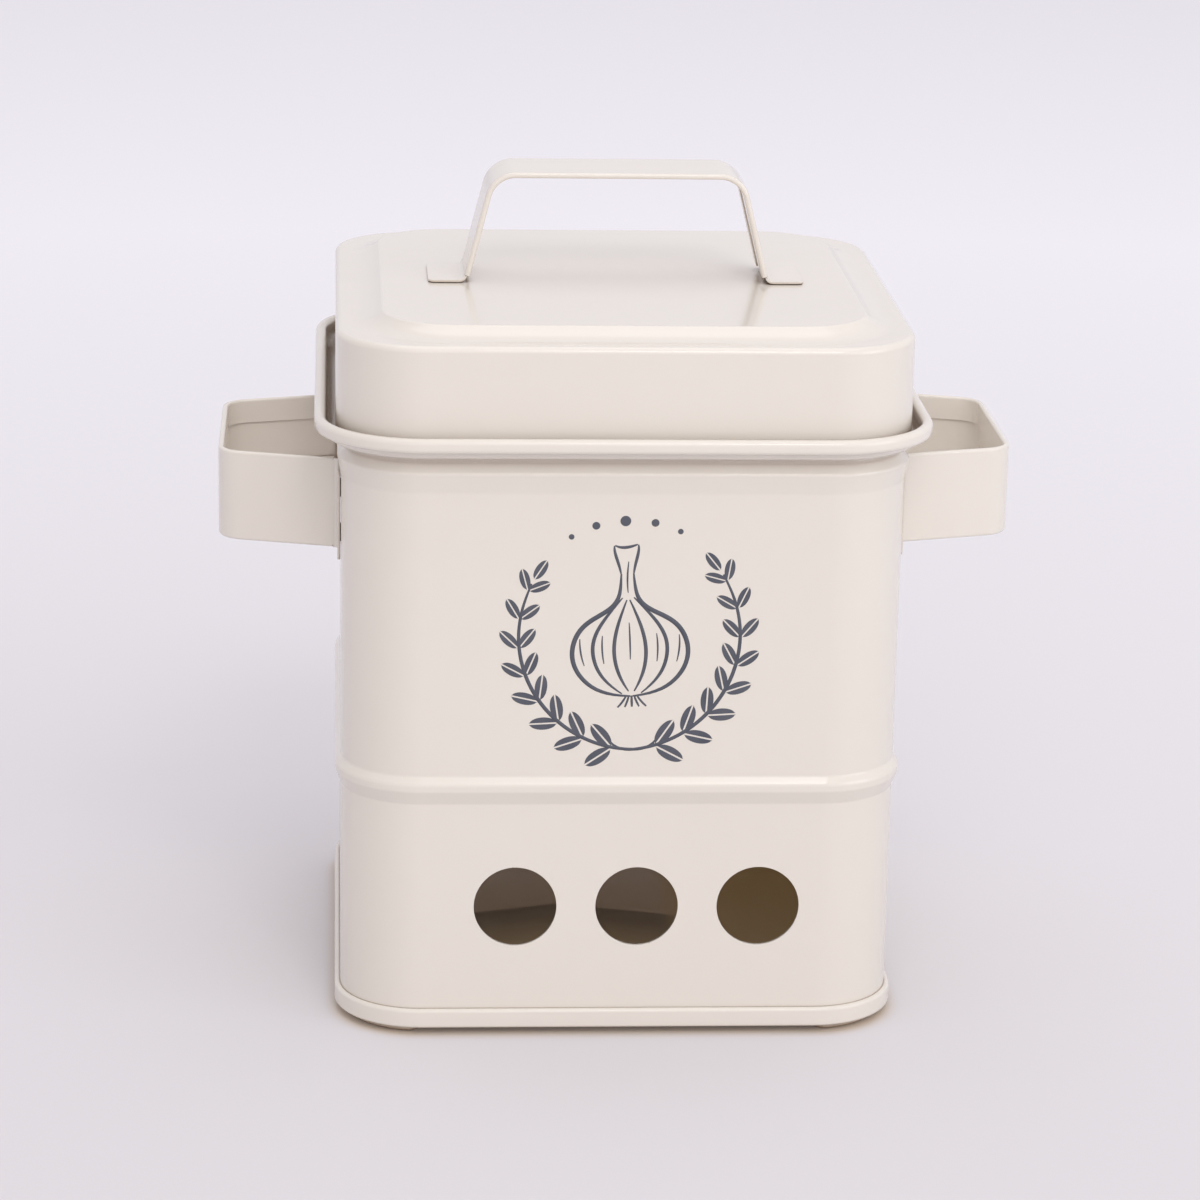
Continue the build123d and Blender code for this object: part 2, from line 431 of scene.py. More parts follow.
def makeEnamel(name, rarity=1.02, foldOpen=0.7):
    material, tree, shader = newMaterial(name)
    coordinates = tree.nodes.new("ShaderNodeTexCoord")
    place = coordinates.outputs["Object"]
    tone = placeGroup(tree, toneGroup, place, Light_tone=enamel["lightTone"], Deep_tone=enamel["deepTone"])
    wear = placeGroup(tree, wearGroup, place, Rarity=rarity)
    handling = placeGroup(tree, handlingGroup, place, Clean=enamel["clean"], Smudged=enamel["smudged"])
    peel = placeGroup(tree, peelGroup, place)
    # painted shade: the coat's colour turns warm and dark in folds and gaps, where little light reaches
    paintedShade = placeGroup(tree, paintedShadeGroup, Open=foldOpen)
    shaded = addColourMix(tree, paintedShade.outputs["Shade"], tone.outputs["Color"], enamel["paintedShadeTone"])
    colour = addColourMix(tree, wear.outputs["Chips"], shaded, enamel["chipTone"])
    tree.links.new(colour, shader.inputs["Base Color"])
    chipDull = coatTuning["chipDull"]
    dull = addMath(tree, "MULTIPLY_ADD", wear.outputs["Chips"], chipDull, handling.outputs["Roughness"])
    tree.links.new(dull, shader.inputs["Roughness"])
    bump = tree.nodes.new("ShaderNodeBump")
    bump.inputs["Strength"].default_value = 1.0
    bump.inputs["Distance"].default_value = enamel["waveBump"]
    tree.links.new(peel.outputs["Height"], bump.inputs["Height"])
    tree.links.new(bump.outputs["Normal"], shader.inputs["Normal"])
    shader.inputs["Coat Weight"].default_value = enamel["coat"]
    shader.inputs["Coat Roughness"].default_value = enamel["coatRoughness"]
    return material


insideGlow = {
    "halfWidth": 49.9,
    "cornerRadius": 14.15,
    "foot": 1.6,
    "top": 4.0,
    "bendAt": -8.0,
    "bend": 0.3,
    "reach": (-12.0, 40.0),
    "tones": ((0.0, srgb(70, 54, 30)), (0.34, srgb(20, 12, 5)), (0.45, srgb(0, 0, 0)),
              (0.464, srgb(65, 53, 43)), (1.0, srgb(80, 70, 64))),
    "sideFrom": 12.0,
    "sideTo": 17.0,
    "sideTone": srgb(70, 54, 31),
}


def addInsideMask(tree, split):
    # 1 within a rounded square, from its foot to its top
    g = insideGlow
    beyond = []
    for axis in ("X", "Y"):
        across = addMath(tree, "ABSOLUTE", split.outputs[axis])
        past = addMath(tree, "SUBTRACT", across, (g["halfWidth"] - g["cornerRadius"]) * mm)
        beyond.append(addMath(tree, "MAXIMUM", past, 0.0))
    squares = addMath(tree, "MULTIPLY", beyond[0], beyond[0])
    distance = addMath(tree, "SQRT", addMath(tree, "MULTIPLY_ADD", beyond[1], beyond[1], squares))
    within = addMath(tree, "LESS_THAN", distance, g["cornerRadius"] * mm)
    above = addMath(tree, "GREATER_THAN", split.outputs["Z"], g["foot"] * mm)
    below = addMath(tree, "LESS_THAN", split.outputs["Z"], g["top"] * mm)
    return addMath(tree, "MULTIPLY", within, addMath(tree, "MULTIPLY", above, below))


def addInsideGlow(material):
    # stands in for light that bounces many times in the closed box: two pools on its floor, dark between
    g = insideGlow
    tree = material.node_tree
    shader = tree.nodes["Principled BSDF"]
    coordinates = tree.nodes.new("ShaderNodeTexCoord")
    split = tree.nodes.new("ShaderNodeSeparateXYZ")
    tree.links.new(coordinates.outputs["Object"], split.inputs[0])
    aside = addMath(tree, "ABSOLUTE", addMath(tree, "SUBTRACT", split.outputs["X"], g["bendAt"] * mm))
    depth = addMath(tree, "MULTIPLY_ADD", aside, g["bend"], split.outputs["Y"])
    pools = tree.nodes.new("ShaderNodeValToRGB")
    tree.links.new(addRamp(tree, depth, g["reach"][0] * mm, g["reach"][1] * mm), pools.inputs["Fac"])
    stops = pools.color_ramp.elements
    while len(stops) < len(g["tones"]):
        stops.new(0.5)
    for stop, (position, tone) in zip(stops, g["tones"]):
        stop.position = position
        stop.color = tone
    beside = addRamp(tree, split.outputs["X"], g["sideFrom"] * mm, g["sideTo"] * mm)
    spread = addColourMix(tree, beside, pools.outputs["Color"], g["sideTone"])
    glow = addColourMix(tree, addInsideMask(tree, split), (0, 0, 0, 1), spread)
    tree.links.new(glow, shader.inputs["Emission Color"])
    shader.inputs["Emission Strength"].default_value = 1.0


wallEnamel = makeEnamel("creamEnamelWall", foldOpen=0.6)
baseEnamel = makeEnamel("creamEnamelBase", rarity=0.98, foldOpen=0.55)
addInsideGlow(baseEnamel)
lidEnamel = makeEnamel("creamEnamelLid", foldOpen=0.62)
strapEnamel = makeEnamel("creamEnamelStrap", rarity=1.0)


wallSizes = {
    "halfWidth": 50.25,
    "cornerRadius": 14.5,
    "sheet": 0.5,
    "bottom": 1.8,
    "beadFoot": 43.9,
    "beadCrest": (46.4, 47.6),
    "beadTop": 48.9,
    "beadProud": 1.0,
    "beadRound": 1.0,
    "swellFoot": 101.2,
    "swellRound": 3.0,
    "shoulder": 104.7,
    "shoulderProud": 0.75,
    "shoulderRound": 0.5,
    "neckDepth": 0.9,
    "neckRise": 2.0,
    "neckFootRound": 1.4,
    "neckRound": 0.5,
    "ledge": 108.2,
    "collarOut": 2.65,
    "collarRound": 1.9,
    "rimTop": 111.9,
    "hemRound": 0.8,
    "hemHeight": 2.6,
    "lipRound": 0.55,
    "lipSteps": 6,
    "hemSteps": 8,
    "ventRadius": 7.45,
    "ventPitch": 21.9,
    "ventHeight": 24.4,
    "ventShift": 3.0,
    "seamHalf": 2.5,
    "seamProud": 0.5,
    "seamEdge": 0.35,
    "seamEnds": (5.4, 101.7),
    "inBack": 30.0,
    "ventSteps": 72,
    "punchDepth": 10.0,
}


def makeBodyWall():
    s = wallSizes
    half = s["sheet"] / 2
    face = -half
    neck = face - s["neckDepth"]
    ledge = s["ledge"] - half
    collar = s["collarOut"] + half
    hemMiddle = collar + s["hemRound"]
    hemOut = collar + 2 * s["hemRound"]
    hemTop = s["rimTop"] - half - s["hemRound"]
    hemBottom = s["rimTop"] - s["hemHeight"] + half

    def onSection(x, z):
        return (0, -(s["halfWidth"] + x) * mm, z * mm)

    piece = traceLine("body_wall_skin", [
        (face, s["bottom"], 0),
        (face, s["beadFoot"], s["beadRound"]),
        (face + s["beadProud"], s["beadCrest"][0], s["beadRound"]),
        (face + s["beadProud"], s["beadCrest"][1], s["beadRound"]),
        (face, s["beadTop"], s["beadRound"]),
        (face, s["swellFoot"], s["swellRound"]),
        (face + s["shoulderProud"], s["shoulder"], s["shoulderRound"]),
        (neck, s["shoulder"] + s["neckRise"], s["neckFootRound"]),
        (neck, ledge, s["neckRound"]),
        (collar, ledge, s["collarRound"]),
        (collar, hemTop, 0),
    ], onSection)
    spinPicked(onSection(hemMiddle, hemTop), (1, 0, 0), math.pi, s["hemSteps"])
    traceTo(onSection(hemOut, hemTop), onSection(hemOut, hemBottom))
    traceTo(onSection(hemOut, hemBottom), onSection(hemOut - s["lipRound"], hemBottom))
    pick("VERT", lambda vert: near(vert.co, onSection(hemOut, hemBottom)))
    # a little less than the lip's own length, so the round stays clear of its end
    bpy.ops.mesh.bevel(offset=s["lipRound"] * 0.98 * mm, segments=s["lipSteps"], affect="VERTICES")

    carryRound(piece, s["halfWidth"] - s["cornerRadius"])
    mirrorPiece(piece)
    turnOutwards(piece)

    # lock seam down the back: cuts along its sides and ends, then the strip between them steps out
    editOnly(piece)
    for x in (-s["seamHalf"] - s["seamEdge"], -s["seamHalf"], s["seamHalf"], s["seamHalf"] + s["seamEdge"]):
        pick("FACE", lambda face: face.calc_center_median().y > s["inBack"] * mm)
        bpy.ops.mesh.bisect(plane_co=(x * mm, 0, 0), plane_no=(1, 0, 0))
    seamLow, seamHigh = s["seamEnds"]
    for z in (seamLow, seamLow + s["seamEdge"], seamHigh - s["seamEdge"], seamHigh):
        pick("FACE", lambda face: (
            face.calc_center_median().y > s["inBack"] * mm
            and abs(face.calc_center_median().x) < (s["seamHalf"] + s["seamEdge"]) * mm
        ))
        bpy.ops.mesh.bisect(plane_co=(0, 0, z * mm), plane_no=(0, 0, 1))
    pick("VERT", lambda vert: (
        vert.co.y > s["inBack"] * mm
        and abs(vert.co.x) < s["seamHalf"] * mm + hair
        and seamLow * mm + hair < vert.co.z < seamHigh * mm - hair
    ))
    bpy.ops.transform.translate(value=(0, s["seamProud"] * mm, 0))
    thicken(piece, s["sheet"])

    # three punched vents in the front
    for index in (-1, 0, 1):
        across = s["ventShift"] + index * s["ventPitch"]
        selectOnly(piece)
        bpy.ops.object.select_all(action="DESELECT")
        bpy.ops.mesh.primitive_cylinder_add(
            vertices=s["ventSteps"], radius=s["ventRadius"] * mm, depth=s["punchDepth"] * mm,
            location=(across * mm, -s["halfWidth"] * mm, s["ventHeight"] * mm),
            rotation=(math.pi / 2, 0, 0),
        )
        cut(piece, bpy.context.object)
    smoothPiece(piece)
    return piece


bodyWall = makeBodyWall()
finishPiece(bodyWall, "keeper", wallEnamel, ["body_wall"])


baseSizes = {
    "halfWidth": 50.25,
    "cornerRadius": 14.5,
    "sheet": 0.42,
    "bottom": 1.3,
    "bandTop": 4.9,
    "bandProud": 1.0,
    "seamGap": -0.4,
    "bendRound": 0.4,
    "foldEnd": 2.4,
    "footSize": 15.0,
    "footInset": 1.5,
    "footInnerRound": 4.0,
    "footEdgeRound": 0.9,
    "leastRound": 0.05,
    "footSteps": 120,
    "toolDepth": 20.0,
    "pastPlate": 1.0,
    "plateHalf": 0.3,
}


def makeFeet(name, inset, low, high):
    s = baseSizes
    size = s["footSize"] - 2 * inset
    centre = s["halfWidth"] + s["bandProud"] - s["footInset"] - s["footSize"] / 2
    outerRound = s["cornerRadius"] + s["bandProud"] - s["footInset"] - inset
    innerRound = s["footInnerRound"] - inset
    bpy.ops.object.select_all(action="DESELECT")
    bpy.ops.mesh.primitive_plane_add(size=size * mm, location=(centre * mm, -centre * mm, low * mm))
    feet = nameActive(name)
    bpy.ops.object.transform_apply(location=True, rotation=False, scale=False)
    editOnly(feet)
    far = (centre + size / 2) * mm
    pick("VERT", lambda vert: not near(vert.co, (far, -far, low * mm)))
    bpy.ops.mesh.bevel(offset=innerRound * mm, segments=6, affect="VERTICES")
    bpy.ops.mesh.select_all(action="SELECT")
    bpy.ops.mesh.extrude_region_move(TRANSFORM_OT_translate={"value": (0, 0, (high - low) * mm)})
    bpy.ops.mesh.select_all(action="SELECT")
    bpy.ops.mesh.normals_make_consistent(inside=False)
    leaveEditMode()
    # the outer side follows the band's round corner
    bpy.ops.object.select_all(action="DESELECT")
    middleOfRound = far - outerRound * mm
    bpy.ops.mesh.primitive_cylinder_add(
        vertices=s["footSteps"], radius=outerRound * mm, depth=s["toolDepth"] * mm,
        location=(middleOfRound, -middleOfRound, 0),
    )
    cut(feet, bpy.context.object, "INTERSECT")
    editOnly(feet)
    pick("EDGE", lambda edge: all(abs(vert.co.z - low * mm) < hair for vert in edge.verts))
    edgeRound = max(s["footEdgeRound"] - inset, s["leastRound"])
    bpy.ops.mesh.bevel(offset=edgeRound * mm, segments=4, affect="EDGES")
    mirrorPiece(feet)
    turnOutwards(feet)
    return feet


def makeBasePan():
    s = baseSizes
    half = s["sheet"] / 2
    outer = s["bandProud"] - half
    inner = s["seamGap"] + half
    foldRound = (outer - inner) / 2
    foldCentre = s["bandTop"] - half - foldRound
    start = s["plateHalf"] - s["cornerRadius"]

    def onSection(x, z):
        return (0, -(s["halfWidth"] + x) * mm, z * mm)

    piece = traceLine("base_pan_skin", [
        (start, s["bottom"] + half, 0),
        (outer, s["bottom"] + half, s["bendRound"]),
        (outer, foldCentre, 0),
    ], onSection)
    spinPicked(onSection(outer - foldRound, foldCentre), (1, 0, 0), -math.pi, 6)
    traceTo(onSection(inner, foldCentre), onSection(inner, s["foldEnd"]))
    carryRound(piece, s["halfWidth"] - s["cornerRadius"])
    mirrorPiece(piece)
    editOnly(piece)
    pick("EDGE", lambda edge: edge.is_boundary and middle(edge).z < (s["bottom"] + s["sheet"]) * mm)
    bpy.ops.mesh.edge_face_add()
    turnOutwards(piece)
    thicken(piece, s["sheet"])
    cut(piece, makeFeet("feet_outer", 0, 0, s["bottom"] + half), "UNION")
    cut(piece, makeFeet("feet_inner", s["sheet"], s["sheet"], s["bottom"] + s["pastPlate"]), "DIFFERENCE")
    smoothPiece(piece)
    return piece


basePan = makeBasePan()
finishPiece(basePan, "keeper", baseEnamel, ["base_pan"])


lidSizes = {
    "halfWidth": 51.25,
    "cornerRadius": 15.5,
    "sheet": 0.5,
    "bottom": 108.2,
    "top": 127.5,
    "edgeRound": 1.2,
    "panelHalf": 43.0,
    "panelCornerRadius": 12.5,
    "panelTop": 129.6,
    "panelSlope": 2.4,
    "panelRound": 0.7,
    "footRound": 7.0,
    "footReach": 3.0,
    "edgeReach": 0.8,
    "panelReach": 1.4,
}


def makeLidShell():
    s = lidSizes

    def onSection(y, z):
        return (0, -y * mm, z * mm)

    skirt = traceLine("lid_skirt", [
        (s["halfWidth"], s["bottom"], 0),
        (s["halfWidth"], s["top"], s["edgeRound"]),
        (s["halfWidth"] - s["edgeRound"] - s["edgeReach"], s["top"], 0),
    ], onSection, steps=8)
    carryRound(skirt, s["halfWidth"] - s["cornerRadius"])
    foot = s["panelHalf"] + s["panelSlope"]
    panel = traceLine("lid_panel", [
        (foot + s["footReach"], s["top"], 0),
        (foot, s["top"], s["footRound"]),
        (s["panelHalf"], s["panelTop"], s["panelRound"]),
        (s["panelHalf"] - s["panelReach"], s["panelTop"], 0),
    ], onSection, steps=6)
    carryRound(panel, s["panelHalf"] - s["panelCornerRadius"])
    selectOnly(skirt, panel)
    bpy.ops.object.join()
    shell = nameActive("lid_shell_skin")
    editOnly(shell)
    # the two facing borders of the flat margin, without the cut ends at x = 0 and y = 0
    pick("EDGE", lambda edge: (
        edge.is_boundary
        and abs(middle(edge).z - s["top"] * mm) < hair
        and middle(edge).x > hair
        and middle(edge).y < -hair
    ))
    bpy.ops.mesh.bridge_edge_loops()
    mirrorPiece(shell)
    editOnly(shell)
    pick("EDGE", lambda edge: edge.is_boundary and middle(edge).z > s["panelTop"] * mm - hair)
    bpy.ops.mesh.edge_face_add()
    turnOutwards(shell)
    thicken(shell, s["sheet"], offset=-1.0)
    smoothPiece(shell)
    return shell


lidShell = makeLidShell()
finishPiece(lidShell, "lid", lidEnamel, ["lid_shell"])


strapSizes = {
    "sheet": 0.5,
    "foldRound": 0.28,
    "hem": 4.5,
    "hemSetback": 1.0,
    "spread": 0.05,
    "cornerRound": 5.4,
    "bendRound": 1.2,
    "weldGap": 0.12,
    "tabCornerRound": 1.2,
    "edgeRound": 0.09,
    "straightSteps": 3,
}


def makeStrap(name, width, rootHalf, barHalf, reach, tabLength):
    # built along x, with y across the strap and z away from the wall, then mirrored to the other quarters
    s = strapSizes
    half = s["sheet"] / 2
    barMiddle = reach - half
    tabMiddle = s["weldGap"] + half
    foldCentreY = width / 2 - half - s["foldRound"]
    hemMiddle = barMiddle - 2 * s["foldRound"]
    slant = rootHalf - barHalf
    drop = barMiddle - tabMiddle
    turn = math.atan2(drop, slant)
    legLength = math.hypot(drop, slant)
    cornerReach = s["cornerRound"] * math.tan(turn / 2)
    bendReach = s["bendRound"] * math.tan(turn / 2)
    legRun = Vector((math.cos(turn), 0, -math.sin(turn)))
    hemLeg = (legLength - s["hemSetback"] / math.sin(turn)) - cornerReach
    bareLeg = legLength - cornerReach - hemLeg - bendReach - s["spread"]

    piece = startLine(name, (0, (width / 2 - s["hem"]) * mm, hemMiddle * mm))
    bpy.ops.mesh.extrude_vertices_move(
        TRANSFORM_OT_translate={"value": (0, (foldCentreY - width / 2 + s["hem"]) * mm, 0)}
    )
    spinPicked((0, foldCentreY * mm, (barMiddle - s["foldRound"]) * mm), (1, 0, 0), math.pi, 6)
    bpy.ops.mesh.extrude_vertices_move(TRANSFORM_OT_translate={"value": (0, -foldCentreY * mm, 0)})
    bpy.ops.mesh.select_all(action="SELECT")
    straightSteps = s["straightSteps"]
    for step in range(straightSteps):
        bpy.ops.mesh.extrude_region_move(
            TRANSFORM_OT_translate={"value": ((barHalf - cornerReach) / straightSteps * mm, 0, 0)}
        )
    cornerCentre = Vector((barHalf - cornerReach, 0, barMiddle - s["cornerRound"])) * mm
    spinPicked(cornerCentre, (0, 1, 0), turn, 12)
    for step in range(straightSteps):
        bpy.ops.mesh.extrude_region_move(
            TRANSFORM_OT_translate={"value": legRun * (hemLeg / straightSteps) * mm}
        )

    # below the hems only the single sheet goes on, and spreads to the strap's full width
    def isAt(vert, reach):
        point = Vector((barHalf, 0, barMiddle)) + legRun * reach
        return near((vert.co.x, 0, vert.co.z), point * mm, 2 * hair)

    foldLine = foldCentreY * mm
    pick("VERT", lambda vert: isAt(vert, cornerReach + hemLeg) and vert.co.y < foldLine + hair)
    bpy.ops.mesh.extrude_region_move(TRANSFORM_OT_translate={"value": legRun * s["spread"] * mm})
    edgeReach = cornerReach + hemLeg + s["spread"]
    pick("VERT", lambda vert: isAt(vert, edgeReach) and abs(vert.co.y - foldLine) < hair)
    bpy.ops.transform.translate(value=(0, (width / 2 - foldCentreY) * mm, 0))
    pick("VERT", lambda vert: isAt(vert, edgeReach))
    bpy.ops.mesh.extrude_region_move(TRANSFORM_OT_translate={"value": legRun * bareLeg * mm})
    bendCentre = Vector((rootHalf + bendReach, 0, tabMiddle + s["bendRound"])) * mm
    spinPicked(bendCentre, (0, 1, 0), -turn, 6)
    bpy.ops.mesh.extrude_region_move(
        TRANSFORM_OT_translate={"value": ((tabLength - bendReach) * mm, 0, 0)}
    )
    tabEnd = rootHalf + tabLength
    pick("VERT", lambda vert: vert.co.x > tabEnd * mm - hair and vert.co.y > width / 2 * mm - hair)
    bpy.ops.mesh.bevel(offset=s["tabCornerRound"] * mm, segments=5, affect="VERTICES")
    mirrorPiece(piece)
    turnOutwards(piece)
    thicken(piece, s["sheet"])
    softenEdges(piece, s["edgeRound"])
    smoothPiece(piece)
    return piece


def placeStrap(piece, location, rotation):
    selectOnly(piece)
    piece.location = [value * mm for value in location]
    piece.rotation_euler = [math.radians(angle) for angle in rotation]
    bpy.ops.object.transform_apply(location=True, rotation=True, scale=False)
    return piece


sideHandle = {
    "loop": {"width": 16.6, "rootHalf": 25.15, "barHalf": 19.15, "reach": 22.25, "tabLength": 9.2},
    "wall": 50.25,
    "leftHeight": 92.7,
    "rightHeight": 93.8,
}
lidHandle = {
    "loop": {"width": 15.5, "rootHalf": 27.8, "barHalf": 22.8, "reach": 20.4, "tabLength": 6.6},
    "panelTop": 129.6,
}

for side, sign in (("left", -1), ("right", 1)):
    strap = makeStrap(side + "_handle_strap", **sideHandle["loop"])
    placeStrap(strap, (sign * sideHandle["wall"], 0, sideHandle[side + "Height"]), (90 * sign, 0, 90))
    finishPiece(strap, "keeper", strapEnamel, [side + "_handle"])

lidStrap = makeStrap("lid_handle_strap", **lidHandle["loop"])
placeStrap(lidStrap, (0, 0, lidHandle["panelTop"]), (0, 0, 0))
finishPiece(lidStrap, "lid", strapEnamel, ["lid_handle"])


weldLook = {
    "lightTone": srgb(122, 118, 114),
    "deepTone": srgb(70, 64, 62),
    "driftSize": 500.0,
    "clean": 0.4,
    "smudged": 0.6,
    "smudgeSize": 900.0,
    "metal": 0.9,
}


def makeWeldSteel():
    w = weldLook
    material, tree, shader = newMaterial("weldSteel")
    coordinates = tree.nodes.new("ShaderNodeTexCoord")
    place = coordinates.outputs["Object"]
    tone = placeGroup(
        tree, toneGroup, place, Light_tone=w["lightTone"], Deep_tone=w["deepTone"], Drift_size=w["driftSize"]
    )
    handling = placeGroup(
        tree, handlingGroup, place, Clean=w["clean"], Smudged=w["smudged"], Smudge_size=w["smudgeSize"]
    )
    tree.links.new(tone.outputs["Color"], shader.inputs["Base Color"])
    tree.links.new(handling.outputs["Roughness"], shader.inputs["Roughness"])
    shader.inputs["Metallic"].default_value = w["metal"]
    return material


weldSteel = makeWeldSteel()
for nodeName in ("left_handle_welds", "right_handle_welds", "lid_handle_welds"):
    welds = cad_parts[nodeName]
    welds.data.materials.clear()
    welds.data.materials.append(weldSteel)


printSizes = {
    "centre": (0.7, -50.25, 74.3),
    "tilt": -3.0,
    "inkHeight": 0.03,
    "line": 0.8,
    "fineLine": 0.56,
    "leafLength": 5.4,
    "leafWidth": 2.6,
    "sprigRadius": 20.5,
    "sprigFrom": -98.0,
    "sprigTo": 38.0,
    "leafPairs": 8,
    "leafVein": 0.34,
    "leafTip": 0.09,
    "leafLean": 42,
    "leafShrink": 0.32,
    "leafFrom": 0.14,
    "leafSpan": 0.8,
    "endLeaf": (0.985, 0.72),
    "stemSteps": 12,
    "stemShare": 0.97,
    "stemBow": 0.05,
    "taper": 0.35,
    "taperCurve": 0.6,
    "dots": ((0, 22.0, 0.95), (-5.2, 21.4, 0.7), (5.2, 21.4, 0.7), (-9.6, 19.6, 0.5), (9.6, 19.6, 0.5)),
}
inkLook = {
    "lightTone": srgb(72, 76, 88),
    "deepTone": srgb(92, 94, 102),
    "driftSize": 260.0,
    "mottleSize": 2200.0,
    "clean": 0.38,
    "smudged": 0.52,
    "smudgeSize": 400.0,
    "peelSize": 2600.0,
    "peelDepth": 0.12,
    "bump": 0.06,
}


def makeInk():
    k = inkLook
    material, tree, shader = newMaterial("slateInk")
    coordinates = tree.nodes.new("ShaderNodeTexCoord")
    place = coordinates.outputs["Object"]
    tone = placeGroup(
        tree, toneGroup, place, Light_tone=k["lightTone"], Deep_tone=k["deepTone"],
        Drift_size=k["driftSize"], Mottle_size=k["mottleSize"],
    )
    handling = placeGroup(
        tree, handlingGroup, place, Clean=k["clean"], Smudged=k["smudged"], Smudge_size=k["smudgeSize"]
    )
    peel = placeGroup(
        tree, peelGroup, place, Peel_size=k["peelSize"], Peel_depth=k["peelDepth"], Wave_depth=0.0
    )
    bump = tree.nodes.new("ShaderNodeBump")
    bump.inputs["Distance"].default_value = k["bump"] * mm
    tree.links.new(peel.outputs["Height"], bump.inputs["Height"])
    tree.links.new(bump.outputs["Normal"], shader.inputs["Normal"])
    tree.links.new(tone.outputs["Color"], shader.inputs["Base Color"])
    tree.links.new(handling.outputs["Roughness"], shader.inputs["Roughness"])
    return material


def drawStroke(points, width, taper=printSizes["taper"]):
    # a line of ink through (across, up) points in mm, thinner at its ends
    leaveEditMode()
    bpy.ops.object.select_all(action="DESELECT")
    bpy.ops.curve.primitive_nurbs_path_add()
    stroke = bpy.context.object
    curve = stroke.data
    curve.splines.clear()
    spline = curve.splines.new("NURBS")
    spline.points.add(len(points) - 1)
    for index, (across, up) in enumerate(points):
        share = index / (len(points) - 1)
        spline.points[index].co = (across * mm, 0, up * mm, 1)
        fullness = math.sin(math.pi * share) ** printSizes["taperCurve"]
        spline.points[index].radius = taper + (1 - taper) * fullness
    spline.order_u = min(4, len(points))
    spline.use_endpoint_u = True
    curve.resolution_u = 6
    curve.bevel_depth = width / 2 * mm
    curve.bevel_resolution = 1
    curve.use_fill_caps = True
    bpy.ops.object.convert(target="MESH")
    stroke = bpy.context.object
    stroke.scale = (1, printSizes["inkHeight"] * 2 / width, 1)
    bpy.ops.object.transform_apply(location=False, rotation=False, scale=True)
    return stroke


def drawMirrored(points, width):
    mirrored = [(-across, up) for across, up in points]
    return [drawStroke(points, width), drawStroke(mirrored, width)]


def makeLeafHalf(length, width, vein):
    # one side of a leaf that points along x from its stalk at the origin
    bpy.ops.object.select_all(action="DESELECT")
    bpy.ops.mesh.primitive_circle_add(
        vertices=28, radius=length / 2 * mm, fill_type="NGON", rotation=(math.pi / 2, 0, 0)
    )
    half = nameActive("leafHalf")
    bpy.ops.object.transform_apply(location=False, rotation=True, scale=False)
    editOnly(half)
    bpy.ops.mesh.select_all(action="SELECT")
    bpy.ops.transform.resize(value=(1, 1, width / length))
    tip = printSizes["leafTip"]
    for sign in (-1, 1):
        pick("VERT", lambda vert: near(vert.co, (sign * length / 2 * mm, 0, 0), 5 * hair))
        bpy.ops.transform.translate(value=(sign * length * tip * mm, 0, 0))
    bpy.ops.mesh.select_all(action="SELECT")
    bpy.ops.transform.translate(value=(length * (0.5 + tip) * mm, 0, 0))
    bpy.ops.mesh.bisect(plane_co=(0, 0, vein / 2 * mm), plane_no=(0, 0, -1), clear_outer=True)
    bpy.ops.mesh.select_all(action="SELECT")
    bpy.ops.mesh.normals_make_consistent(inside=False)
    leaveEditMode()
    applyModifier(half, "SOLIDIFY", thickness=2 * printSizes["inkHeight"] * mm, offset=0)
    return half


def makeLeaf():
    leaf = makeLeafHalf(printSizes["leafLength"], printSizes["leafWidth"], printSizes["leafVein"])
    applyModifier(leaf, "MIRROR", use_axis=(False, False, True), use_mirror_merge=False)
    turnOutwards(leaf)
    leaf.name = "leafPattern"
    return leaf


def copyPrint(pattern, across, up, turn=0.0, scale=1.0):
    selectOnly(pattern)
    bpy.ops.object.duplicate(linked=False)
    twin = bpy.context.object
    twin.location = (across * mm, 0, up * mm)
    twin.rotation_euler = (0, -math.radians(turn), 0)
    twin.scale = (scale, 1, scale)
    bpy.ops.object.transform_apply(location=True, rotation=True, scale=True)
    return twin


def drawBulb():
    line, fine = printSizes["line"], printSizes["fineLine"]
    marks = []
    marks += drawMirrored([(1.1, 12.4), (1.25, 9.6), (1.7, 7.3), (4.2, 5.3), (8.9, 3.2), (11.0, -2.2),
                           (8.8, -7.4), (4.6, -9.9), (0.2, -10.2)], line * 1.25)
    marks += drawMirrored([(1.0, 8.0), (3.4, 5.4), (6.6, 1.6), (6.9, -3.4), (4.9, -7.4), (1.7, -9.7)], line)
    marks += drawMirrored([(0.25, 7.6), (1.6, 4.4), (2.9, 0.4), (2.9, -4.0), (1.8, -7.2), (0.5, -9.3)], line)
    marks += drawMirrored([(8.8, 0.8), (9.0, -1.6), (8.2, -4.2)], fine)
    marks += drawMirrored([(4.8, 1.2), (5.1, -1.4), (4.7, -4.0)], fine)
    marks += [drawStroke([(0.0, 3.4), (0.1, 0.2), (0.0, -3.4)], fine)]
    marks += drawMirrored([(1.12, 12.25), (1.3, 14.2), (2.4, 16.4), (2.1, 17.6)], line)
    marks += [drawStroke([(-2.0, 17.65), (-0.8, 16.9), (0.6, 17.2), (2.0, 17.65)], line)]
    marks += [drawStroke([(0.0, 8.9), (-0.2, 11.6), (0.3, 14.6)], fine)]
    for spread in (-1.9, -0.95, 0.0, 0.95, 1.9):
        root = [(spread * 0.5, -10.1), (spread * 0.8, -11.2), (spread * 1.35, -12.2)]
        marks.append(drawStroke(root, fine, 0.6))
    return marks


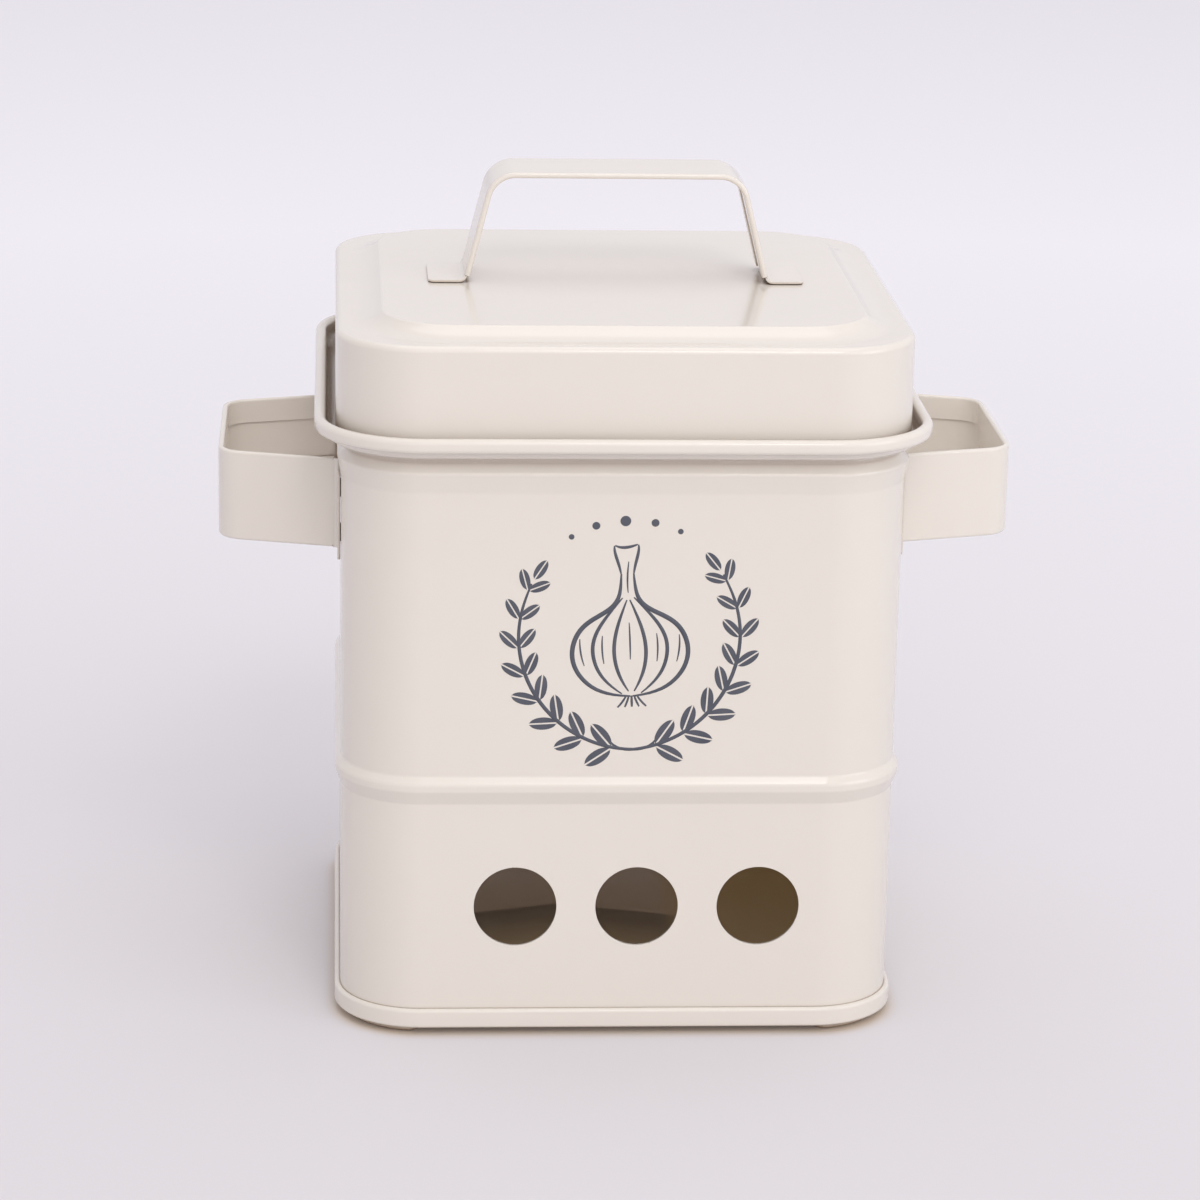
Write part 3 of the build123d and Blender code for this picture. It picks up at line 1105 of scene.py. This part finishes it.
def drawSprig(leaf, side):
    # a stem bowed round the bulb, with leaves in pairs that shrink towards its tip
    p = printSizes
    marks = []

    def onStem(share):
        angle = math.radians(p["sprigFrom"] + share * (p["sprigTo"] - p["sprigFrom"]))
        radius = p["sprigRadius"] * (1.0 - p["stemBow"] * math.sin(math.pi * share))
        return side * radius * math.cos(angle), radius * math.sin(angle), math.degrees(angle) + 90

    steps = p["stemSteps"]
    stem = [onStem(step / steps * p["stemShare"])[:2] for step in range(steps + 1)]
    marks.append(drawStroke([(-side * 4.2, -18.4)] + stem, p["line"], 0.5))
    for index in range(p["leafPairs"]):
        share = p["leafFrom"] + p["leafSpan"] * index / (p["leafPairs"] - 1)
        across, up, heading = onStem(share)
        size = 1.0 - p["leafShrink"] * share
        for lean in (-1, 1):
            turn = heading + lean * p["leafLean"]
            turn = turn if side > 0 else 180 - turn
            marks.append(copyPrint(leaf, across, up, turn, size))
    endShare, endSize = p["endLeaf"]
    across, up, heading = onStem(endShare)
    marks.append(copyPrint(leaf, across, up, heading if side > 0 else 180 - heading, endSize))
    return marks


def makeFrontPrint():
    p = printSizes
    leaf = makeLeaf()
    marks = drawBulb() + drawSprig(leaf, 1) + drawSprig(leaf, -1)
    bpy.ops.object.select_all(action="DESELECT")
    bpy.ops.mesh.primitive_circle_add(vertices=20, radius=mm, fill_type="NGON", rotation=(math.pi / 2, 0, 0))
    dot = nameActive("dotPattern")
    bpy.ops.object.transform_apply(location=False, rotation=True, scale=False)
    applyModifier(dot, "SOLIDIFY", thickness=2 * p["inkHeight"] * mm, offset=0)
    for across, up, size in p["dots"]:
        marks.append(copyPrint(dot, across, up, 0, size))
    for pattern in (leaf, dot):
        bpy.data.objects.remove(pattern)
    selectOnly(*marks)
    bpy.ops.object.join()
    frontPrint = nameActive("front_print")
    placed = Matrix.Translation(Vector(p["centre"]) * mm) @ Matrix.Rotation(math.radians(p["tilt"]), 4, "Y")
    frontPrint.matrix_world = placed
    bpy.ops.object.transform_apply(location=True, rotation=True, scale=True)
    turnOutwards(frontPrint)
    return frontPrint


frontPrint = makeFrontPrint()
finishPiece(frontPrint, "keeper", makeInk())


studio = {
    "floorSize": 60.0,
    "floorRoughness": 0.85,
    "floorShine": 0.1,
    "contactSpan": (0.95, 0.3),
    "lampAim": (0, 0, 0.07),
    "floorTone": srgb(214, 210, 212),
    "farTone": srgb(234, 231, 236),
    "paintedContactShade": srgb(218, 201, 180),
    "contactReach": 0.003,
    "floorLift": 0.0,
    "farLift": 0.21,
    "liftCentre": 0.35,
    "liftReach": 1.05,
    "backdropTone": srgb(236, 233, 238),
    "skyTone": srgb(240, 238, 242),
    "skyStrength": 0.73,
    "keyTone": srgb(255, 253, 250),
    "keyPower": 2.4,
    "keySize": (0.35, 0.4),
    "keyPlace": (0.22, -1.15, 1.25),
    "softTone": srgb(255, 253, 250),
    "softPower": 7.1,
    "softSize": (1.5, 1.2),
    "softPlace": (0.2, -1.35, 1.0),
    "sideTone": srgb(243, 249, 255),
    "sidePower": 3.2,
    "sideSize": (0.9, 0.8),
    "sidePlace": (1.15, -0.75, 0.55),
    "topTone": srgb(252, 252, 255),
    "topPower": 3.8,
    "topSize": (1.2, 1.2),
    "topPlace": (0.0, 0.15, 1.5),
}


def addSeenMask(tree):
    # 1 for rays that look straight, in a reflection or through glass, and 0 for the light a thing sends out
    path = tree.nodes.new("ShaderNodeLightPath")
    straight = addMath(tree, "ADD", path.outputs["Is Camera Ray"], path.outputs["Is Glossy Ray"])
    return addMath(tree, "ADD", straight, path.outputs["Is Transmission Ray"], clamp=True)


def makeFloor():
    bpy.ops.object.select_all(action="DESELECT")
    bpy.ops.mesh.primitive_plane_add(size=studio["floorSize"])
    floor = nameActive("studioFloor")
    material, tree, shader = newMaterial("palePaper")
    coordinates = tree.nodes.new("ShaderNodeTexCoord")
    split = tree.nodes.new("ShaderNodeSeparateXYZ")
    tree.links.new(coordinates.outputs["Object"], split.inputs[0])
    # the lift grows with the distance from a point in front, so the far floor is even from every side
    forward = addMath(tree, "ADD", split.outputs["Y"], studio["liftCentre"])
    squares = addMath(tree, "MULTIPLY", split.outputs["X"], split.outputs["X"])
    distance = addMath(tree, "SQRT", addMath(tree, "MULTIPLY_ADD", forward, forward, squares))
    away = addRamp(tree, distance, 0.0, studio["liftReach"])
    paper = addColourMix(tree, away, studio["floorTone"], studio["farTone"])
    # painted shadow: the floor turns warm and darker near the object's base, standing in for its contact
    # shadow and the light it bounces onto the floor
    contactOpen, contactClosed = studio["contactSpan"]
    paintedShade = placeGroup(
        tree, paintedShadeGroup, Gap=studio["contactReach"], Open=contactOpen, Closed=contactClosed
    )
    shaded = addColourMix(tree, paintedShade.outputs["Shade"], paper, studio["paintedContactShade"])
    tree.links.new(shaded, shader.inputs["Base Color"])
    lift = addRamp(tree, away, 0.0, 1.0, studio["floorLift"], studio["farLift"])
    tree.links.new(addMath(tree, "MULTIPLY", lift, addSeenMask(tree)), shader.inputs["Emission Strength"])
    shader.inputs["Emission Color"].default_value = studio["backdropTone"]
    shader.inputs["Roughness"].default_value = studio["floorRoughness"]
    shader.inputs["Specular IOR Level"].default_value = studio["floorShine"]
    floor.data.materials.append(material)


def makeLamp(name, shiny=True):
    # a lamp that isn't shiny lights things but isn't mirrored in the coat
    place = Vector(studio[name + "Place"])
    bpy.ops.object.select_all(action="DESELECT")
    bpy.ops.object.light_add(type="AREA", location=place)
    lamp = bpy.context.object
    lamp.name = name + "Lamp"
    lamp.data.shape = "RECTANGLE"
    lamp.data.size, lamp.data.size_y = studio[name + "Size"]
    lamp.data.energy = studio[name + "Power"]
    lamp.data.color = studio[name + "Tone"][:3]
    lamp.visible_glossy = shiny
    aim = Vector(studio["lampAim"]) - place
    lamp.rotation_euler = aim.to_track_quat("-Z", "Y").to_euler()


def makeWorld():
    world = bpy.data.worlds.new("studioWorld")
    bpy.context.scene.world = world
    world.use_nodes = True
    tree = world.node_tree
    background = tree.nodes["Background"]
    seen = addSeenMask(tree)
    tree.links.new(
        addColourMix(tree, seen, studio["skyTone"], studio["backdropTone"]), background.inputs["Color"]
    )
    tree.links.new(addRamp(tree, seen, 0.0, 1.0, studio["skyStrength"], 1.0), background.inputs["Strength"])


cameraSizes = {
    "place": (-51.46, -742.58, 284.67),
    "yaw": 3.863,
    "pitch": 16.293,
    "roll": 1.154,
    "lens": 123.18,
    "sensor": 36.0,
    "clip": (0.01, 20),
}


def makeCamera():
    bpy.ops.object.select_all(action="DESELECT")
    bpy.ops.object.camera_add(location=[value * mm for value in cameraSizes["place"]])
    camera = bpy.context.object
    camera.name = "frontCamera"
    turn = (
        Matrix.Rotation(math.radians(-cameraSizes["yaw"]), 3, "Z")
        @ Matrix.Rotation(math.radians(90 - cameraSizes["pitch"]), 3, "X")
        @ Matrix.Rotation(math.radians(cameraSizes["roll"]), 3, "Z")
    )
    camera.rotation_euler = turn.to_euler()
    camera.data.lens = cameraSizes["lens"]
    camera.data.sensor_width = cameraSizes["sensor"]
    camera.data.clip_start, camera.data.clip_end = cameraSizes["clip"]
    bpy.context.scene.camera = camera


makeFloor()
makeWorld()
makeLamp("key")
makeLamp("soft", shiny=False)
makeLamp("side")
makeLamp("top")
makeCamera()
bpy.context.scene.view_settings.view_transform = "Standard"
